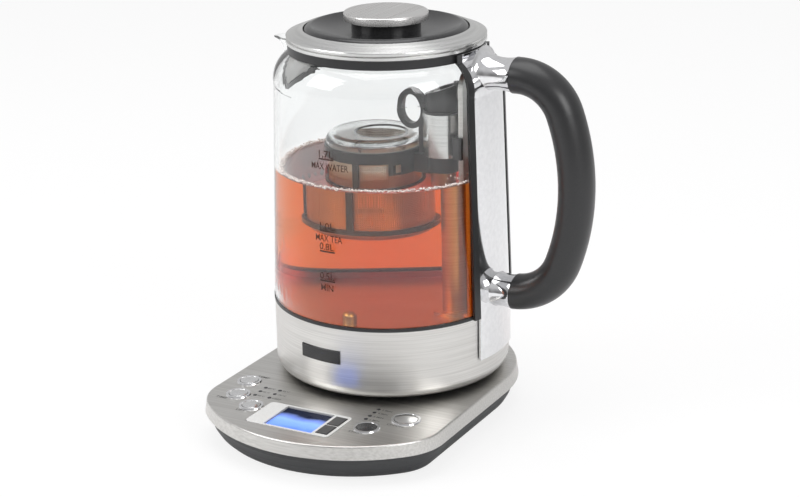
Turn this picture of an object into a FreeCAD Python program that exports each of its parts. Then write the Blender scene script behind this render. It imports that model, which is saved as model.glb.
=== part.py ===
import FreeCAD, Part
import math
import os

from FreeCAD import Vector

# Automatic tea maker: glass jug with a motor-lifted tea strainer, on a power base with a
# control panel. Millimetres, +Z up, +X towards the handle, -Y towards the control panel.
# The origin is on the table, below the jug's axis.

# Power base
foot_height = 2.0
foot_diameter = 13.0
centre_foot_diameter = 18.0
plate_top_z = 24.0
base_half_width = 78.0
base_front_reach = 137.0
base_front_radius = 95.0
base_corner_radius = 34.0
foot_side_offset = base_half_width - 32.0
foot_front_y = 41.0 - base_front_reach
foot_rear_y = base_half_width - 42.0
skirt_height = 8.0
skirt_flare = 1.2
plate_sheet = 0.8
plate_edge_radius = 1.1
tub_rim_gap = 0.6
tub_bottom_inset = 9.0
tub_wall = 2.4
tub_floor = 2.5
base_screw_head_diameter = 6.0
base_screw_side_offset = base_half_width - 38.0
base_screw_front_y = 31.0 - base_front_reach
base_screw_rear_y = base_half_width - 28.0

# Round connector between base and jug
socket_radius = 13.0
socket_rise = 8.0
socket_flange_radius = 17.0
socket_flange_height = 0.8
socket_pin_bore = 2.6
socket_groove_radius = 8.0
socket_groove_width = 2.6
contact_ring_wall = 0.5
connector_wall = 2.2
connector_gap = 0.8
connector_pin_radius = 1.8
connector_blade_wall = 1.0

# Control panel
panel_part_gap = 0.2
board_z = 11.5
board_thickness = 1.6
board_edge_gap = 2.0
board_rear_y = 75.0 - base_front_reach
button_travel = 0.8
button_rise = 1.7
bezel_rise = 0.7
bezel_wall = 1.0
bezel_flange = 1.0
switch_side = 6.0
switch_height = 3.5
small_button_radius = 5.5
start_button_radius = 5.9
power_button_radius = 6.8
rear_button_spot = (15.5 - base_half_width, 68.0 - base_front_reach)
outer_button_spot = (20.5 - base_half_width, 48.0 - base_front_reach)
front_button_spot = (37.0 - base_half_width, 36.5 - base_front_reach)
start_button_spot = (base_half_width - 41.6, 37.8 - base_front_reach)
power_button_spot = (base_half_width - 26.5, 57.7 - base_front_reach)
left_led_columns = (30.4 - base_half_width, 40.5 - base_half_width)
left_led_rows = (63.1 - base_front_reach, 57.1 - base_front_reach, 51.0 - base_front_reach)
right_led_column = base_half_width - 48.2
right_led_rows = tuple(step - base_front_reach for step in (64.1, 59.0, 53.7, 48.8))
led_radius = 1.1
led_rise = 0.15
display_left_x = -32.5
display_right_x = 23.0
display_rear_y = 46.3 - base_front_reach
display_front_y = 15.5 - base_front_reach
display_corner = 3.0
display_depth = 3.0
display_rise = 0.3
screen_left_x = -20.5
screen_right_x = 11.5
screen_border = 1.6
screen_recess = 0.7
screen_glass = 1.0
key_left_x = 13.3
key_width = 8.0
key_gap = 1.0
key_rise = 0.5

# Cord outlet at the back of the base
outlet_radius = 4.6
outlet_bore = 3.2
outlet_length = 9.0
outlet_z = 8.0

# Jug
jug_radius = 72.0
shell_top_z = 69.6
shell_bottom_z = 26.4
shell_corner = 7.0
shell_sheet = 0.8
cover_rest_radius = jug_radius - 16.0
cover_rest_width = 3.0
cover_floor = 2.0
seal_height = 2.0
seal_proud = 0.3
heating_plate_drop = 6.0
heating_plate_sheet = 1.2
element_ring_radius = jug_radius - 28.0
element_tube_radius = 4.0
sensor_radius = 4.0
sensor_height = 9.0
sensor_offset = jug_radius - 25.0
glass_wall = 2.5
glass_shoulder_z = shell_top_z + 133.4
glass_shoulder_radius = jug_radius - 4.2
glass_neck_radius = jug_radius - 14.8
glass_neck_z = glass_shoulder_z + 19.5
glass_top_z = glass_neck_z + 8.7
spout_reach = jug_radius + 5.0
spout_width = 12.0
spout_throat_reach = jug_radius - 0.4
spout_throat_width = 13.0
spout_throat_z = glass_top_z - 10.2
spout_bend_reach = jug_radius - 2.4
spout_bend_width = 13.0
spout_bend_z = glass_top_z - 17.2
spout_root_reach = jug_radius - 7.5
spout_root_width = 9.0
spout_inner = jug_radius - 34.0
spout_root_z = glass_top_z - 31.2
spout_top_z = glass_top_z - 7.2
filter_inset = 4.6
filter_frame_sheet = 1.6
filter_frame_width = 2.8
filter_mesh_sheet = 0.4
filter_half_width = 28.0
filter_bottom_z = glass_top_z - 36.8
filter_corner = 11.0
badge_width = 28.0
badge_height = 8.5
badge_mid_z = 51.5
badge_turn = -8.0
badge_thickness = 0.7

# Collar round the mouth
collar_radius = glass_neck_radius + 2.4
collar_edge_z = glass_top_z + 1.2
collar_top_z = collar_edge_z + 3.6
collar_mouth_radius = glass_neck_radius - 7.8
collar_band_bottom_z = collar_edge_z - 4.8
collar_sheet = 1.2
collar_ledge_z = collar_edge_z - 5.4
collar_ledge_radius = collar_mouth_radius - 3.2
collar_gap = 0.3
gasket_bottom_z = collar_edge_z - 10.6
gasket_wall = 1.5

# Handle
panel_half_angle = 16.2
panel_sheet = 1.4
panel_gap = 0.3
panel_bottom_z = shell_bottom_z + 16.6
strip_angle = 3.8
strip_proud = 0.5
upper_socket_z = collar_edge_z - 18.2
lower_socket_z = shell_top_z + 12.8
socket_end_x = jug_radius + 13.0
socket_half_height = 10.6
socket_half_width = 13.0
socket_flare = 4.6
grip_reach = socket_end_x + 38.0
grip_mid_z = shell_top_z + 80.4
grip_back_radius = 130.0
grip_top_radius = 30.0
grip_bottom_radius = 34.0
grip_half_depth = 10.5
grip_half_width = 12.5

# Lid
lid_radius = collar_mouth_radius - 0.6
lid_rim_width = 4.2
lid_rim_z = collar_top_z + 1.4
lid_edge_z = collar_top_z - 0.8
lid_dish_z = lid_rim_z - 4.2
lid_skin = 2.4
lid_plug_radius = collar_ledge_radius - 1.0
lid_plug_bottom_z = collar_ledge_z - 6.5
lid_gasket_height = 1.4
stem_radius = lid_radius - 28.2
knob_radius = stem_radius + 4.6
knob_top_z = lid_rim_z + 7.6
knob_thickness = 4.6
knob_edge_radius = 1.2
lid_screw_radius = 2.0

# Strainer lift
lift_x = jug_radius - 35.2
post_radius = 7.5
post_wall = 1.1
post_top_z = shell_top_z + 124.4
post_flange_radius = 12.0
post_flange_height = 2.0
screw_radius = 2.0
screw_running_gap = 0.06
nut_height = 16.0
nut_gap = 0.25
gear_module = 0.9
screw_gear_teeth = 24
pinion_teeth = 12
gear_thickness = 4.0
gear_z = 52.5
motor_radius = 9.0
motor_height = 13.5
motor_gap = 1.5
rail_x = lift_x + 14.8
rail_thickness = 3.0
rail_width = 20.0
rail_top_z = glass_shoulder_z + 10.0

# Carriage in its raised position
sleeve_radius = 11.9
sleeve_wall = 0.8
sleeve_bottom_z = post_top_z - 32.0
sleeve_top_z = post_top_z - 6.0
slide_gap = 0.35
cap_radius = 10.2
cap_low_z = post_top_z + 3.5
cap_high_z = cap_low_z + 7.0
cap_lip = 2.2
holder_tube_radius = 9.4
holder_tube_bottom_z = sleeve_bottom_z - 11.5
holder_x = lift_x - 46.4
holder_ring_radius = 30.6
holder_ring_wall = 2.0
holder_ring_bottom_z = sleeve_bottom_z - 4.0
holder_ring_top_z = holder_ring_bottom_z + 6.6
holder_rib_width = 3.6
holder_rib_depth = 1.8
holder_foot_z = holder_ring_bottom_z - 41.0
holder_foot_height = 3.0
arm_width = 13.0
arm_bottom_z = sleeve_bottom_z - 16.0
cup_gap = 0.3
cup_sheet = 0.6
cup_rim_width = 0.9
cup_bottom_z = holder_ring_bottom_z - 45.0
cup_top_z = holder_ring_top_z + 0.4
cup_corner = 4.0
clear_lid_top_z = holder_ring_top_z + 7.0
clear_lid_wall = 1.6
clear_lid_radius = holder_ring_radius - 1.0
clear_lid_hole_shift = 4.5
clear_lid_hole_top = 15.4
clear_lid_hole_bottom = 12.6
clear_lid_funnel_z = holder_ring_bottom_z + 1.5
ring_x = lift_x - 20.0
ring_z = sleeve_top_z - 0.7
ring_half_width = 9.6
ring_half_height = 11.4
ring_strap = 3.2
ring_breadth = 4.6
shoe_height = 13.0
shoe_bottom_z = sleeve_bottom_z + 1.0
shoe_width = 25.0

SINK = 0.4
UP = Vector(0, 0, 1)


def cylinder(radius, bottom, top, x=0.0, y=0.0):
    return Part.makeCylinder(radius, top - bottom, Vector(x, y, bottom), UP)


def tube(outer, inner, bottom, top, x=0.0, y=0.0):
    cut = cylinder(inner, bottom - SINK, top + SINK, x, y)
    return cylinder(outer, bottom, top, x, y).cut(cut)


def box(x0, x1, y0, y1, z0, z1):
    return Part.makeBox(x1 - x0, y1 - y0, z1 - z0, Vector(x0, y0, z0))


def rz(r, z):
    return Vector(r, 0, z)


def line(a, b):
    return Part.LineSegment(a, b).toShape()


def arc(a, mid, b):
    return Part.Arc(a, mid, b).toShape()


def turned(edges, x=0.0, y=0.0, angle=360.0, start=0.0):
    """A closed half-section in the XZ plane turned about the vertical through (x, y)."""
    face = Part.Face(Part.Wire(edges))
    face.rotate(Vector(0, 0, 0), UP, start)
    face.translate(Vector(x, y, 0))
    return face.revolve(Vector(x, y, 0), UP, angle)


def polygon_edges(points):
    closed = points[1:] + points[:1]
    return [line(a, b) for a, b in zip(points, closed)]


def fused(first, *others):
    return first.fuse(list(others)).removeSplitter()


def group(solids):
    return Part.makeCompound(solids)


def rounded_slab(x0, x1, y0, y1, z0, z1, corner):
    slab = box(x0, x1, y0, y1, z0, z1)
    upright = [e for e in slab.Edges if abs(e.Vertexes[0].Z - e.Vertexes[-1].Z) > SINK]
    return slab.makeFillet(corner, upright)


# Power base

def base_outline(inset, z):
    """Plan of the base, drawn in by inset: round back, straight sides and a bowed front."""
    side = base_half_width - inset
    corner = base_corner_radius - inset
    front = base_front_radius - inset
    front_y = base_front_radius - base_front_reach
    corner_x = base_half_width - base_corner_radius
    reach = base_front_radius - base_corner_radius
    corner_y = front_y - math.sqrt(reach ** 2 - corner_x ** 2)
    turn = math.atan2(corner_y - front_y, corner_x)
    meet_x = front * math.cos(turn)
    meet_y = front_y + front * math.sin(turn)
    half_turn = turn / 2.0
    bend_x = corner_x + corner * math.cos(half_turn)
    bend_y = corner_y + corner * math.sin(half_turn)
    return Part.Wire([
        arc(Vector(side, 0, z), Vector(0, side, z), Vector(-side, 0, z)),
        line(Vector(-side, 0, z), Vector(-side, corner_y, z)),
        arc(Vector(-side, corner_y, z), Vector(-bend_x, bend_y, z), Vector(-meet_x, meet_y, z)),
        arc(Vector(-meet_x, meet_y, z), Vector(0, front_y - front, z), Vector(meet_x, meet_y, z)),
        arc(Vector(meet_x, meet_y, z), Vector(bend_x, bend_y, z), Vector(side, corner_y, z)),
        line(Vector(side, corner_y, z), Vector(side, 0, z)),
    ])


def outline_block(inset, bottom, top):
    return Part.Face(base_outline(inset, bottom)).extrude(Vector(0, 0, top - bottom))


def flared_block(top_inset, bottom_inset, bottom, top):
    wires = [base_outline(bottom_inset, bottom), base_outline(top_inset, top)]
    return Part.makeLoft(wires, True, True)


skirt_bottom_z = plate_top_z - skirt_height
plate_under_z = plate_top_z - plate_sheet
tub_rim_inset = skirt_flare + plate_sheet + tub_rim_gap
small_bezel_radius = small_button_radius + panel_part_gap + bezel_wall
start_bezel_radius = start_button_radius + panel_part_gap + bezel_wall
power_bezel_radius = power_button_radius + panel_part_gap + bezel_wall
round_buttons = {
    "rear_button": (rear_button_spot, small_button_radius),
    "outer_button": (outer_button_spot, small_button_radius),
    "front_button": (front_button_spot, small_button_radius),
    "start_button": (start_button_spot, start_button_radius),
    "power_button": (power_button_spot, power_button_radius),
}
key_mid_y = (display_rear_y + display_front_y) / 2.0
led_spots = [(x, y) for x in left_led_columns for y in left_led_rows]
led_spots += [(right_led_column, y) for y in right_led_rows]
socket_top_z = plate_top_z + socket_rise
board_top_z = board_z + board_thickness
switch_top_z = board_top_z + switch_height


def make_top_plate():
    outer = flared_block(skirt_flare, 0.0, skirt_bottom_z, plate_top_z)
    rim = [e for e in outer.Edges if min(v.Z for v in e.Vertexes) > plate_top_z - SINK]
    outer = outer.makeFillet(plate_edge_radius, rim)
    inner = flared_block(skirt_flare + plate_sheet, plate_sheet, skirt_bottom_z, plate_under_z)
    plate = outer.cut(inner)
    cuts = [cylinder(socket_radius + panel_part_gap, skirt_bottom_z, plate_top_z + SINK)]
    for (x, y), radius in round_buttons.values():
        hole = radius + panel_part_gap + bezel_wall + panel_part_gap
        cuts.append(cylinder(hole, skirt_bottom_z, plate_top_z + SINK, x, y))
    for x, y in led_spots:
        cuts.append(cylinder(led_radius + panel_part_gap, skirt_bottom_z, plate_top_z + SINK, x, y))
    cuts.append(rounded_slab(
        display_left_x - panel_part_gap, display_right_x + panel_part_gap,
        display_front_y - panel_part_gap, display_rear_y + panel_part_gap,
        skirt_bottom_z, plate_top_z + SINK, display_corner))
    return plate.cut(cuts)


def tub_form(wall, bottom):
    """The tub's swelling side, moved in by wall, from bottom up to the plate."""
    rise = plate_under_z - bottom
    swell = tub_bottom_inset - tub_rim_inset
    steps = [(0.0, 1.0), (0.10, 0.66), (0.26, 0.34), (0.47, 0.10), (1.0, 0.0)]
    wires = [base_outline(tub_rim_inset + wall + swell * share, bottom + rise * height)
             for height, share in steps]
    return Part.makeLoft(wires, True, True)


def make_base_housing():
    """Black tub: its wall swells out from the foot and tucks under the plate's skirt."""
    tub = tub_form(0.0, foot_height).cut(tub_form(tub_wall, foot_height + tub_floor))
    seat = cylinder(socket_flange_radius, foot_height, plate_under_z)
    tub = fused(tub, seat)
    tub = tub.cut(cylinder(socket_radius + panel_part_gap, socket_foot_z, plate_top_z))
    outlet = cylinder(outlet_radius, 0, outlet_length)
    outlet.rotate(Vector(0, 0, 0), Vector(1, 0, 0), -90)
    outlet.translate(Vector(0, base_half_width - tub_rim_inset - outlet_length, outlet_z))
    tub = tub.cut(outlet)
    bosses = [cylinder(base_screw_head_diameter / 2.0, foot_height + tub_floor - SINK, board_z, x, y)
              for x, y in screw_spots if y < board_rear_y]
    tub = fused(tub, *bosses)
    pockets = [cylinder(base_screw_head_diameter / 2.0, 0, foot_height + 1.0, x, y)
               for x, y in screw_spots]
    return tub.cut(pockets)


socket_foot_z = foot_height + tub_floor + 4.0
screw_spots = [(side * base_screw_side_offset, y) for side in (-1, 1)
               for y in (base_screw_front_y, base_screw_rear_y)]


def make_rubber_feet():
    feet = [cylinder(centre_foot_diameter / 2.0, 0, foot_height)]
    for side in (-1, 1):
        for y in (foot_front_y, foot_rear_y):
            feet.append(cylinder(foot_diameter / 2.0, 0, foot_height, side * foot_side_offset, y))
    return group(feet)


def make_base_screws():
    head = base_screw_head_diameter / 2.0
    return group([cylinder(head - panel_part_gap, foot_height, foot_height + 1.0, x, y)
                  for x, y in screw_spots])


def make_cord_grommet():
    body = cylinder(outlet_radius, 0, outlet_length)
    body = body.cut(cylinder(outlet_bore, -SINK, outlet_length + SINK))
    body.rotate(Vector(0, 0, 0), Vector(1, 0, 0), -90)
    start = base_half_width - tub_rim_inset - outlet_length
    body.translate(Vector(0, start, outlet_z))
    trim = outline_block(tub_rim_inset, 0, plate_top_z)
    return body.common(trim)


def make_power_socket():
    """Raised round socket that the jug turns on, with a centre bore and one ring groove."""
    body = cylinder(socket_radius, socket_foot_z, socket_top_z)
    top = [e for e in body.Edges if min(v.Z for v in e.Vertexes) > socket_top_z - SINK]
    body = body.makeFillet(plate_edge_radius, top)
    groove_outer = socket_groove_radius + socket_groove_width / 2.0
    groove_inner = socket_groove_radius - socket_groove_width / 2.0
    groove = tube(groove_outer, groove_inner, plate_top_z - 2.0, socket_top_z + SINK)
    bore = cylinder(socket_pin_bore, plate_top_z - 4.0, socket_top_z + SINK)
    flange = tube(socket_flange_radius, socket_radius - SINK, plate_top_z, plate_top_z + socket_flange_height)
    return fused(body.cut([groove, bore]), flange)


def make_socket_contacts():
    groove_outer = socket_groove_radius + socket_groove_width / 2.0
    outer = tube(groove_outer, groove_outer - contact_ring_wall, plate_top_z - 2.0, plate_top_z + 3.0)
    centre = cylinder(socket_pin_bore - panel_part_gap, plate_top_z - 4.0, plate_top_z - 2.5)
    return group([outer, centre])


def make_control_board():
    board = outline_block(tub_bottom_inset + tub_wall + board_edge_gap, board_z, board_top_z)
    keep = box(-base_half_width, base_half_width, -base_front_reach, board_rear_y, board_z, board_top_z)
    return board.common(keep)


def make_board_switches():
    half = switch_side / 2.0
    spots = [spot for spot, radius in round_buttons.values()] + key_spots()
    return group([box(x - half, x + half, y - half, y + half, board_top_z, switch_top_z)
                  for x, y in spots])


def key_spots():
    x = key_left_x + key_width / 2.0
    length = key_length()
    return [(x, key_mid_y + (key_gap + length) / 2.0), (x, key_mid_y - (key_gap + length) / 2.0)]


def key_length():
    span = display_rear_y - display_front_y - 2.0 * display_corner
    return (span - key_gap) / 2.0


def make_button(spot, radius):
    """Domed cap with a shoulder step, on a stem that ends just above its switch."""
    x, y = spot
    top = plate_top_z + button_rise
    foot = switch_top_z + button_travel + panel_part_gap
    skirt_z = plate_top_z - 1.2
    crown = plate_top_z + bezel_rise
    rise = top - crown
    ball = (radius ** 2 + rise ** 2) / (2.0 * rise)
    bend_z = top - ball + (ball ** 2 - radius ** 2 / 4.0) ** 0.5
    edges = [
        line(rz(0, foot), rz(radius * 0.35, foot)),
        line(rz(radius * 0.35, foot), rz(radius * 0.35, skirt_z)),
        line(rz(radius * 0.35, skirt_z), rz(radius, skirt_z)),
        line(rz(radius, skirt_z), rz(radius, crown)),
        arc(rz(radius, crown), rz(radius / 2.0, bend_z), rz(0, top)),
        line(rz(0, top), rz(0, foot)),
    ]
    return turned(edges, x, y)


def make_button_bezels():
    rings = []
    for (x, y), radius in round_buttons.values():
        bore = radius + panel_part_gap
        neck = bore + bezel_wall
        flange = neck + bezel_flange
        top = plate_top_z + bezel_rise
        edges = polygon_edges([
            rz(bore, plate_top_z - 2.0), rz(neck, plate_top_z - 2.0), rz(neck, plate_top_z),
            rz(flange, plate_top_z), rz(flange - bezel_rise / 2.0, top), rz(bore + 0.2, top),
            rz(bore, top - 0.2)])
        rings.append(turned(edges, x, y))
    return group(rings)


def make_indicator_lights():
    top = plate_top_z + led_rise
    return group([cylinder(led_radius, board_top_z, top, x, y) for x, y in led_spots])


def make_display_bezel():
    """Insert in the plate with a bevelled screen window and two key openings."""
    top = plate_top_z + display_rise
    bottom = plate_top_z - display_depth
    insert = rounded_slab(display_left_x, display_right_x, display_front_y, display_rear_y,
                          bottom, top, display_corner)
    y0 = display_front_y + screen_border
    y1 = display_rear_y - screen_border
    window = box(screen_left_x, screen_right_x, y0, y1, bottom - SINK, top + SINK)
    cuts = [window]
    for x, y in key_spots():
        half_x = key_width / 2.0
        half_y = key_length() / 2.0
        cuts.append(box(x - half_x, x + half_x, y - half_y, y + half_y, bottom - SINK, top + SINK))
    return insert.cut(cuts)


def make_screen_window():
    top = plate_top_z + display_rise - screen_recess
    y0 = display_front_y + screen_border
    y1 = display_rear_y - screen_border
    return box(screen_left_x, screen_right_x, y0, y1, top - screen_glass, top)


def make_screen_module():
    top = plate_top_z + display_rise - screen_recess - screen_glass
    y0 = display_front_y + screen_border
    y1 = display_rear_y - screen_border
    body = box(screen_left_x, screen_right_x, y0, y1, top - 3.0, top)
    legs = [box(x, x + 2.0, y0, y1, board_top_z, top - 3.0)
            for x in (screen_left_x, screen_right_x - 2.0)]
    return fused(body, *legs)


def make_key(spot):
    x, y = spot
    half_x = key_width / 2.0 - panel_part_gap
    half_y = key_length() / 2.0 - panel_part_gap
    top = plate_top_z + display_rise + key_rise
    cap = box(x - half_x, x + half_x, y - half_y, y + half_y, plate_top_z - display_depth, top)
    rim = [e for e in cap.Edges if min(v.Z for v in e.Vertexes) > top - SINK / 2.0]
    cap = cap.makeFillet(key_rise * 0.8, rim)
    foot = switch_top_z + button_travel + panel_part_gap
    return fused(cap, cylinder(key_width * 0.2, foot, plate_top_z - display_depth + SINK, x, y))


# Jug

glass_bottom_z = shell_top_z + seal_height
heating_plate_z = glass_bottom_z - heating_plate_drop
connector_roof_z = socket_top_z + connector_gap


def make_base_shell():
    """Brushed steel band with a rolled bottom corner, open above and below."""
    inner = jug_radius - shell_sheet
    mid = 1.0 - math.sqrt(0.5)
    lip = jug_radius - shell_corner - 3.0
    corner_out = rz(jug_radius - shell_corner * mid, shell_bottom_z + shell_corner * mid)
    small = shell_corner - shell_sheet
    corner_in = rz(inner - small * mid, shell_bottom_z + shell_sheet + small * mid)
    edges = [
        line(rz(lip, shell_bottom_z), rz(jug_radius - shell_corner, shell_bottom_z)),
        arc(rz(jug_radius - shell_corner, shell_bottom_z), corner_out,
            rz(jug_radius, shell_bottom_z + shell_corner)),
        line(rz(jug_radius, shell_bottom_z + shell_corner), rz(jug_radius, shell_top_z)),
        line(rz(jug_radius, shell_top_z), rz(inner, shell_top_z)),
        line(rz(inner, shell_top_z), rz(inner, shell_bottom_z + shell_corner)),
        arc(rz(inner, shell_bottom_z + shell_corner), corner_in,
            rz(jug_radius - shell_corner, shell_bottom_z + shell_sheet)),
        line(rz(jug_radius - shell_corner, shell_bottom_z + shell_sheet),
             rz(lip, shell_bottom_z + shell_sheet)),
        line(rz(lip, shell_bottom_z + shell_sheet), rz(lip, shell_bottom_z)),
    ]
    return turned(edges)


def make_bottom_cover():
    """Black cover under the jug: a ring to stand on, and a well over the base's socket."""
    lip = jug_radius - shell_corner - 3.0
    well = socket_radius + connector_gap + connector_wall + panel_part_gap
    rest_in = cover_rest_radius - cover_rest_width
    edges = polygon_edges([
        rz(well, shell_bottom_z), rz(rest_in, shell_bottom_z), rz(rest_in, plate_top_z),
        rz(cover_rest_radius, plate_top_z), rz(cover_rest_radius, shell_bottom_z),
        rz(lip, shell_bottom_z), rz(lip, shell_bottom_z + cover_floor),
        rz(well + cover_floor, shell_bottom_z + cover_floor),
        rz(well + cover_floor, connector_roof_z + cover_floor),
        rz(well, connector_roof_z + cover_floor)])
    return turned(edges)


def make_jug_connector():
    """Round plug half in the jug: a cup over the socket with a pin and a ring blade."""
    outer = socket_radius + connector_gap + connector_wall
    bore = socket_radius + connector_gap
    top = connector_roof_z + connector_wall
    cup = cylinder(outer, shell_bottom_z, top).cut(cylinder(bore, shell_bottom_z - SINK, connector_roof_z))
    pin = cylinder(connector_pin_radius, plate_top_z + 1.0, connector_roof_z + SINK)
    blade_out = socket_groove_radius + connector_blade_wall / 2.0 - 0.3
    blade = tube(blade_out, blade_out - connector_blade_wall, plate_top_z + 1.0, connector_roof_z + SINK)
    return fused(cup, pin, blade)


def make_badge_plate():
    """Bare plate on the front of the steel band, curved to it."""
    inner = jug_radius
    outer = jug_radius + badge_thickness
    half_angle = math.degrees(badge_width / 2.0 / jug_radius)
    z0 = badge_mid_z - badge_height / 2.0
    z1 = badge_mid_z + badge_height / 2.0
    bevel = badge_thickness / 2.0
    edges = polygon_edges([rz(inner, z0), rz(outer - bevel, z0), rz(outer, z0 + bevel),
                           rz(outer, z1 - bevel), rz(outer - bevel, z1), rz(inner, z1)])
    return turned(edges, 0, 0, 2.0 * half_angle, badge_turn - 90.0 - half_angle)


def make_heating_plate():
    """Steel floor of the jug: a shallow dish with a turned-up rim, pierced for the lift screw."""
    inner = jug_radius - shell_sheet - panel_part_gap
    top = heating_plate_z
    sheet = heating_plate_sheet
    edges = polygon_edges([
        rz(0, top - sheet), rz(inner, top - sheet), rz(inner, shell_top_z),
        rz(inner - sheet, shell_top_z), rz(inner - sheet, top), rz(0, top)])
    plate = turned(edges)
    return plate.cut(cylinder(screw_radius + 1.0, top - sheet - SINK, top + SINK, lift_x))


def make_heating_element():
    """Horseshoe heater brazed under the floor, open round the lift motor's side."""
    top = heating_plate_z - heating_plate_sheet
    centre = Vector(0, 0, top - element_tube_radius)
    ring = Part.makeTorus(element_ring_radius, element_tube_radius, centre, UP, 0, 360, 270)
    ring.rotate(Vector(0, 0, 0), UP, 45)
    pad = tube(element_ring_radius + 3.0, element_ring_radius - 3.0, top - 1.0, top)
    wedge = box(0, jug_radius, -element_ring_radius, element_ring_radius, top - 2.0, top + SINK)
    return fused(ring, pad.cut(wedge))


def make_temperature_sensor():
    body = cylinder(sensor_radius, heating_plate_z, heating_plate_z + sensor_height, 0, -sensor_offset)
    tip = [e for e in body.Edges if min(v.Z for v in e.Vertexes) > heating_plate_z + sensor_height - SINK]
    return body.makeFillet(sensor_radius * 0.8, tip)


def make_seal_ring():
    inner = jug_radius - shell_sheet - panel_part_gap - heating_plate_sheet
    outer = jug_radius + seal_proud
    return tube(outer, inner, shell_top_z, glass_bottom_z)


def glass_edges(offset, bottom, top):
    """Half-section line of the glass's outside moved in by offset, from the foot to the rim."""
    foot = jug_radius - offset
    hip = glass_shoulder_radius - offset
    neck = glass_neck_radius - offset
    mid_r = neck + (hip - neck) * 0.78
    mid_z = glass_shoulder_z + (glass_neck_z - glass_shoulder_z) * 0.62
    return [
        line(rz(foot, bottom), rz(hip, glass_shoulder_z)),
        arc(rz(hip, glass_shoulder_z), rz(mid_r, mid_z), rz(neck, glass_neck_z)),
        line(rz(neck, glass_neck_z), rz(neck, top)),
    ]


def glass_solid(offset, bottom, top):
    edges = glass_edges(offset, bottom, top)
    edges.append(line(rz(glass_neck_radius - offset, top), rz(0, top)))
    edges.append(line(rz(0, top), rz(0, bottom)))
    edges.append(line(rz(0, bottom), rz(jug_radius - offset, bottom)))
    return turned(edges)


def spout_section(height, reach, half_width, offset):
    """Level oval with its outer end at the reach and its inner end in the jug's neck."""
    half_length = (reach - offset - spout_inner) / 2.0
    ring = Part.Ellipse(Vector(0, 0, 0), half_length, half_width - offset).toShape()
    ring.translate(Vector(-(spout_inner + half_length), 0, height))
    return Part.Wire(ring)


def spout_solid(offset):
    """Lip pulled out of the shoulder away from the handle, cut off level under the collar."""
    sections = [spout_section(spout_root_z, spout_root_reach, spout_root_width, offset),
                spout_section(spout_bend_z, spout_bend_reach, spout_bend_width, offset),
                spout_section(spout_throat_z, spout_throat_reach, spout_throat_width, offset),
                spout_section(spout_top_z, spout_reach, spout_width, offset)]
    return Part.makeLoft(sections, True)


def make_glass_body():
    outer = fused(glass_solid(0.0, glass_bottom_z, glass_top_z), spout_solid(0.0))
    lift = glass_wall + SINK
    inner = glass_solid(glass_wall, glass_bottom_z - SINK, glass_top_z + SINK)
    channel = spout_solid(glass_wall)
    channel_top = channel.copy()
    channel_top.translate(Vector(0, 0, lift / 4.0))
    return outer.cut([inner, channel, channel_top])


def make_collar_ring():
    """Pressed steel ring: sloped top, rolled edge, band below it and a ledge for the lid."""
    skin = collar_sheet
    inner = glass_neck_radius + collar_gap
    mouth = collar_mouth_radius
    edges = polygon_edges([
        rz(inner, collar_band_bottom_z), rz(collar_radius - 0.6, collar_band_bottom_z),
        rz(collar_radius, collar_band_bottom_z + 0.6), rz(collar_radius, collar_edge_z - 2.6),
        rz(collar_radius - 1.2, collar_edge_z - 2.0), rz(collar_radius - 1.2, collar_edge_z - 0.8),
        rz(collar_radius, collar_edge_z - 0.4), rz(collar_radius - 0.2, collar_edge_z),
        rz(mouth + 0.6, collar_top_z), rz(mouth, collar_top_z - 0.4),
        rz(mouth, collar_ledge_z), rz(collar_ledge_radius, collar_ledge_z),
        rz(collar_ledge_radius, collar_ledge_z - skin), rz(mouth + skin, collar_ledge_z - skin),
        rz(mouth + skin, collar_edge_z - 0.8), rz(inner, collar_edge_z - 0.8)])
    ring = turned(edges)
    return ring.cut(spout_solid(-collar_gap))


def filter_blank(inset, sheet, edge):
    """Curved sheet inside the glass behind the spout, its outline moved in by edge."""
    top = collar_edge_z - 0.8 - edge
    bottom = filter_bottom_z + edge
    outer = glass_solid(inset, glass_bottom_z, collar_top_z)
    skin = outer.cut(glass_solid(inset + sheet, glass_bottom_z, collar_top_z))
    half = filter_half_width - edge
    block = box(-jug_radius, -jug_radius / 2.0, -half, half, bottom, top)
    corners = [e for e in block.Edges
               if abs(e.Vertexes[0].X - e.Vertexes[-1].X) > SINK and e.Vertexes[0].Z < bottom + SINK]
    return skin.common(block.makeFillet(filter_corner - edge, corners))


def make_filter_frame():
    """Black frame that hangs from the collar and holds the mesh behind the spout."""
    blank = filter_blank(filter_inset, filter_frame_sheet, 0.0)
    window = filter_blank(filter_inset - SINK, filter_frame_sheet + 2.0 * SINK, filter_frame_width)
    return blank.cut(window)


def make_filter_mesh():
    middle = filter_inset + (filter_frame_sheet - filter_mesh_sheet) / 2.0
    return filter_blank(middle, filter_mesh_sheet, filter_frame_width)


def make_collar_gasket():
    inner = glass_neck_radius + collar_gap / 2.0
    outer = inner + gasket_wall
    bottom = max(gasket_bottom_z, glass_neck_z)
    ring = tube(outer, inner, bottom, collar_band_bottom_z)
    return ring.cut(spout_solid(-collar_gap))


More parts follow.
